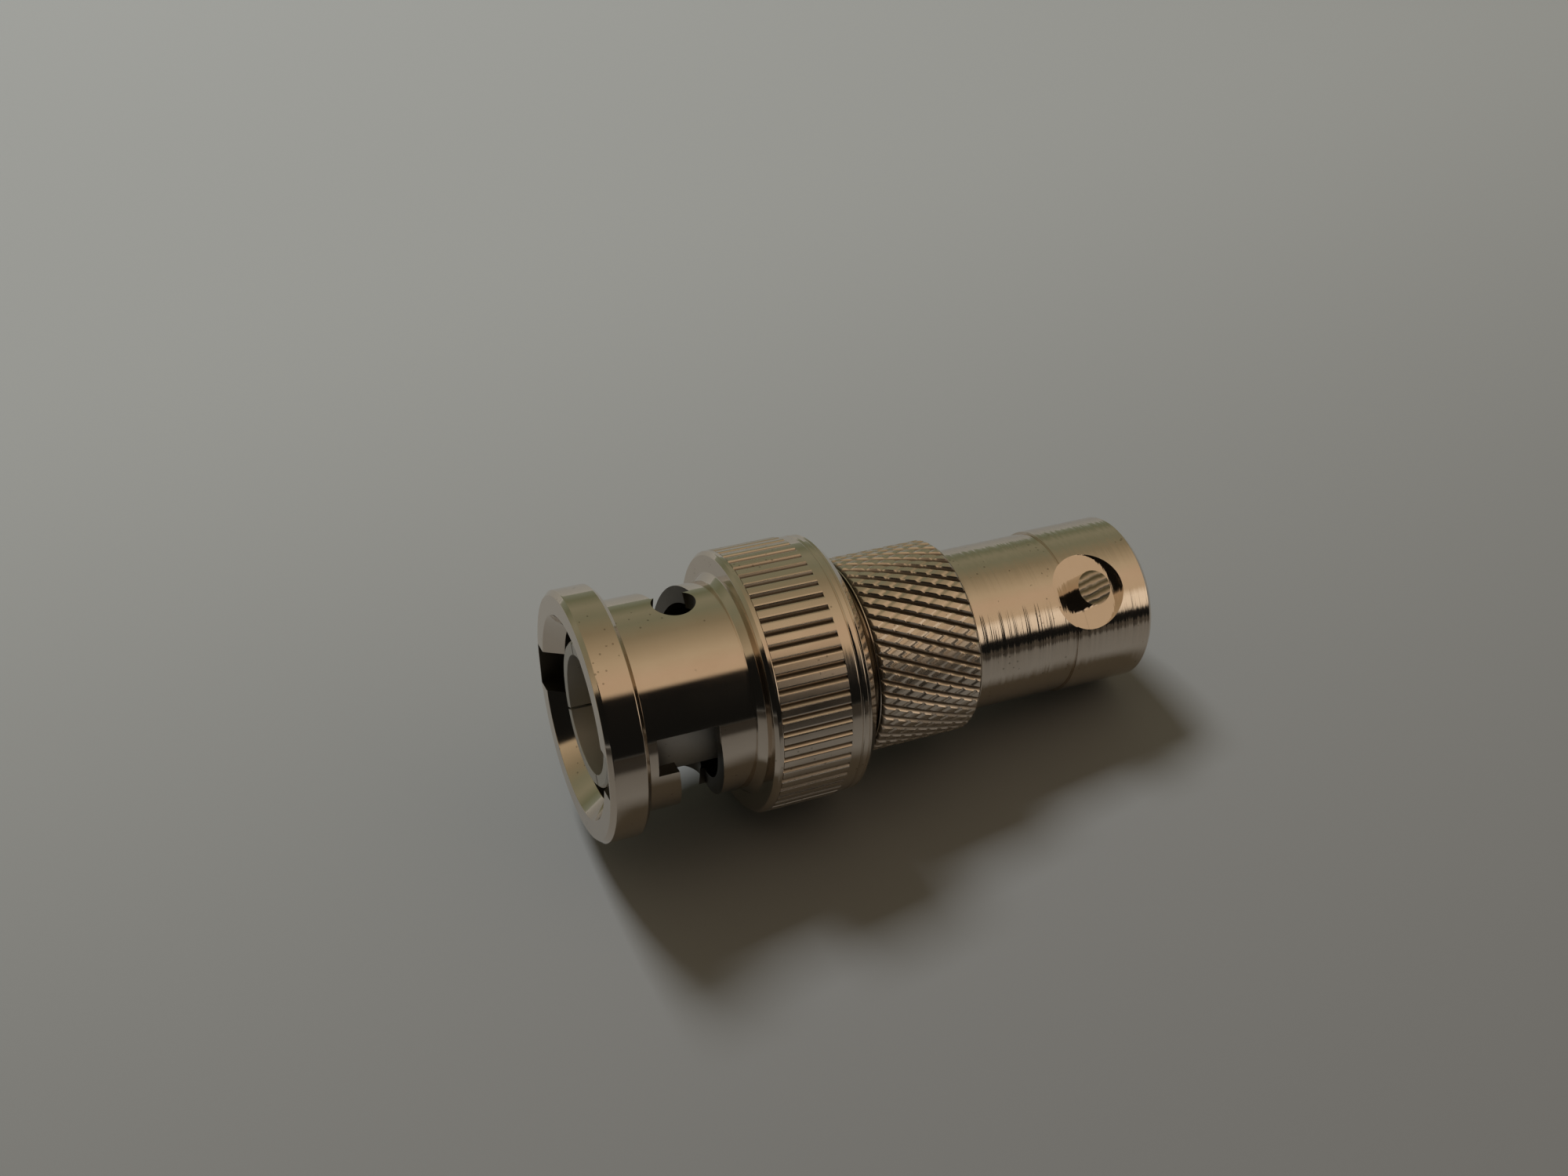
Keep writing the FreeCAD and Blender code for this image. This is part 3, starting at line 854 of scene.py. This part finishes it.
def table_directions():
    """The table's own two directions, the way out of it, and the way over it to the camera's side.

    The table leans a little from the axis, because the part lies on the side of its ring and on the end
    of its barrel.
    """
    rise = Matrix.Rotation(-CAMERA_RISE, 3, CAMERA_RIGHT) @ CAMERA_BACK
    axis = Vector((0, 0, 1))
    side = axis.cross(rise).normalized()
    slope = math.atan2(RING_RADIUS - JACK_RADIUS, FULL_LENGTH - KNURL_END)
    along = (Matrix.Rotation(slope, 3, side) @ axis).normalized()
    outward = along.cross(side)
    if outward.dot(CAMERA_UP) < 0:
        outward = -outward
    ahead = outward.cross(axis).normalized()
    if ahead.dot(CAMERA_BACK) < 0:
        ahead = -ahead
    return side, along, outward, ahead


side, along, outward, ahead = table_directions()


# The table: how far its painted shadow fades, and where its painted shade for glossy rays begins and ends,
# from the axis, and its tones
TABLE_SHADOW_FADE = 0.07
REFLECTED_SHADE_SPAN = (0.038, 0.056)
TABLE_FAR = (0.29, 0.304, 0.307)
TABLE_SHADOWED = (0.15, 0.153, 0.155)
REFLECTED_SHADE_COLOUR = (0.03, 0.03, 0.03)


def table_finish():
    """The table's pale grey, which a painted shadow darkens towards the camera's side, and which its
    underside doesn't show.

    Glossy rays see the table go dark past a set distance on the camera's side: painted shade, which the
    metal mirrors.
    """
    material, tree, shader = new_material("table_grey")
    reach = tree.nodes.new("ShaderNodeVectorMath")
    reach.operation = "DOT_PRODUCT"
    tree.links.new(tree.nodes.new("ShaderNodeTexCoord").outputs["Object"], reach.inputs[0])
    reach.inputs[1].default_value = ahead
    distance = reach.outputs["Value"]
    # Painted shadow: the grey darkens towards the camera's side
    shadowed_tone = blended(tree, smooth_step(tree, distance, -TABLE_SHADOW_FADE, TABLE_SHADOW_FADE), TABLE_FAR, TABLE_SHADOWED)
    # Painted shade for glossy rays only: past a set distance the metal mirrors the table as dark
    glossy = tree.nodes.new("ShaderNodeLightPath").outputs["Is Glossy Ray"]
    reflected_shade = math_node(tree, "MULTIPLY", glossy, smooth_step(tree, distance, *REFLECTED_SHADE_SPAN))
    tree.links.new(blended(tree, reflected_shade, shadowed_tone, REFLECTED_SHADE_COLOUR), shader.inputs["Base Color"])
    shader.inputs["Roughness"].default_value = 0.6
    clear = tree.nodes.new("ShaderNodeBsdfTransparent")
    facing = tree.nodes.new("ShaderNodeNewGeometry")
    mix = tree.nodes.new("ShaderNodeMixShader")
    tree.links.new(facing.outputs["Backfacing"], mix.inputs[0])
    tree.links.new(shader.outputs[0], mix.inputs[1])
    tree.links.new(clear.outputs[0], mix.inputs[2])
    tree.links.new(mix.outputs[0], tree.nodes["Material Output"].inputs["Surface"])
    return material


touch = Vector((0, 0, KNURL_END)) - outward * TABLE_DEPTH
half = TABLE_SIZE / 2
mesh = bpy.data.meshes.new("table_top")
corners = [touch + side * x * half + along * y * half for x, y in ((-1, -1), (1, -1), (1, 1), (-1, 1))]
if (corners[1] - corners[0]).cross(corners[2] - corners[0]).dot(outward) < 0:
    corners.reverse()
mesh.from_pydata(corners, [], [(0, 1, 2, 3)])
top = new_piece("table_top", mesh)
mesh.materials.append(table_finish())

# The room's light, by its height round the part's axis as a share of half a turn: 0 lies level on the
# camera's side, 0.5 straight up from the table and 1 level on the far side
ROOM_BANDS = (
    (0.0, (0.6, 0.5, 0.38)), (0.13, (0.9, 0.76, 0.6)), (0.19, (0.9, 0.76, 0.6)), (0.24, (0.56, 0.43, 0.29)),
    (0.37, (0.56, 0.42, 0.29)), (0.46, (0.5, 0.4, 0.27)), (0.56, (0.36, 0.29, 0.19)),
    (0.65, (0.25, 0.21, 0.135)), (0.76, (0.2, 0.2, 0.135)), (0.85, (0.24, 0.23, 0.16)),
    (0.93, (0.15, 0.16, 0.1)), (1.0, (0.2, 0.22, 0.17)),
)
# Below an edge on the camera's side the room is unlit. The edge drops where the direction turns to +Z
UNLIT = (0.007, 0.007, 0.0065)
EDGE_TURN = (0.32, 0.46)
EDGE_HIGH = 0.297
EDGE_LOW = 0.075
EDGE_RISE = 0.2
EDGE_BLUR = (0.015, 0.02)
# Under the table the room is as pale as the table is
UNDERSIDE = (0.42, 0.42, 0.4)
UNDER_BLUR = 0.03


def light_room():
    """The room round the part, as a world of plain bands of light."""
    world = bpy.data.worlds.new("room")
    bpy.context.scene.world = world
    world.use_nodes = True
    tree = world.node_tree
    direction = tree.nodes.new("ShaderNodeTexCoord").outputs["Generated"]

    def along_axis(vector):
        dot = tree.nodes.new("ShaderNodeVectorMath")
        dot.operation = "DOT_PRODUCT"
        tree.links.new(direction, dot.inputs[0])
        dot.inputs[1].default_value = vector
        return dot.outputs["Value"]

    level = math_node(tree, "ARCTAN2", along_axis(outward), along_axis(ahead))
    share = math_node(tree, "DIVIDE", level, math.pi)
    ramp = tree.nodes.new("ShaderNodeValToRGB")
    tree.links.new(share, ramp.inputs[0])
    points = ramp.color_ramp.elements
    for index, (place, colour) in enumerate(ROOM_BANDS):
        point = points[index] if index < 2 else points.new(place)
        point.position = place
        point.color = (*colour, 1)
    axial = along_axis(Vector((0, 0, 1)))
    drop = smooth_step(tree, axial, *EDGE_TURN, EDGE_HIGH, EDGE_LOW)
    back = math_node(tree, "MAXIMUM", math_node(tree, "MULTIPLY", axial, -1.0), 0.0)
    edge = math_node(tree, "ADD", drop, math_node(tree, "MULTIPLY", back, EDGE_RISE))
    lit = smooth_step(tree, share, math_node(tree, "SUBTRACT", edge, EDGE_BLUR[0]),
                      math_node(tree, "ADD", edge, EDGE_BLUR[1]))
    above = blended(tree, lit, UNLIT, ramp.outputs["Color"])
    under = smooth_step(tree, share, -UNDER_BLUR, 0.0, 1.0, 0.0)
    tree.links.new(blended(tree, under, above, UNDERSIDE), tree.nodes["Background"].inputs["Color"])
    tree.nodes["Background"].inputs["Strength"].default_value = 1.0


light_room()

# A soft light from a window on the far side, which the metal doesn't mirror
LAMP_POWER = 2.4
LAMP_SIZE = 0.14
LAMP_HEIGHT = 0.43
LAMP_FAR = 0.3
LAMP_DROP = -0.05

lamp = bpy.data.lights.new("window_light", "AREA")
lamp.energy = LAMP_POWER
lamp.size = LAMP_SIZE
lamp_place = outward * LAMP_HEIGHT - ahead * LAMP_FAR + Vector((0, 0, LAMP_DROP))
holder = bpy.data.objects.new("window_light", lamp)
holder.location = lamp_place
holder.rotation_euler = (Vector((0, 0, FULL_LENGTH / 2)) - lamp_place).to_track_quat("-Z", "Y").to_euler()
holder.visible_glossy = False
bpy.context.scene.collection.objects.link(holder)

lens = bpy.data.cameras.new("photo_camera")
lens.sensor_width = SENSOR_WIDTH
lens.lens = FOCAL_PIXELS * SENSOR_WIDTH / PHOTO_WIDTH
lens.clip_start = 0.005
camera = bpy.data.objects.new("photo_camera", lens)
view = Matrix((CAMERA_RIGHT, CAMERA_UP, CAMERA_BACK)).transposed().to_4x4()
view.translation = CAMERA_PLACE
camera.matrix_world = view
bpy.context.scene.collection.objects.link(camera)
bpy.context.scene.camera = camera
bpy.context.scene.view_settings.view_transform = "Standard"
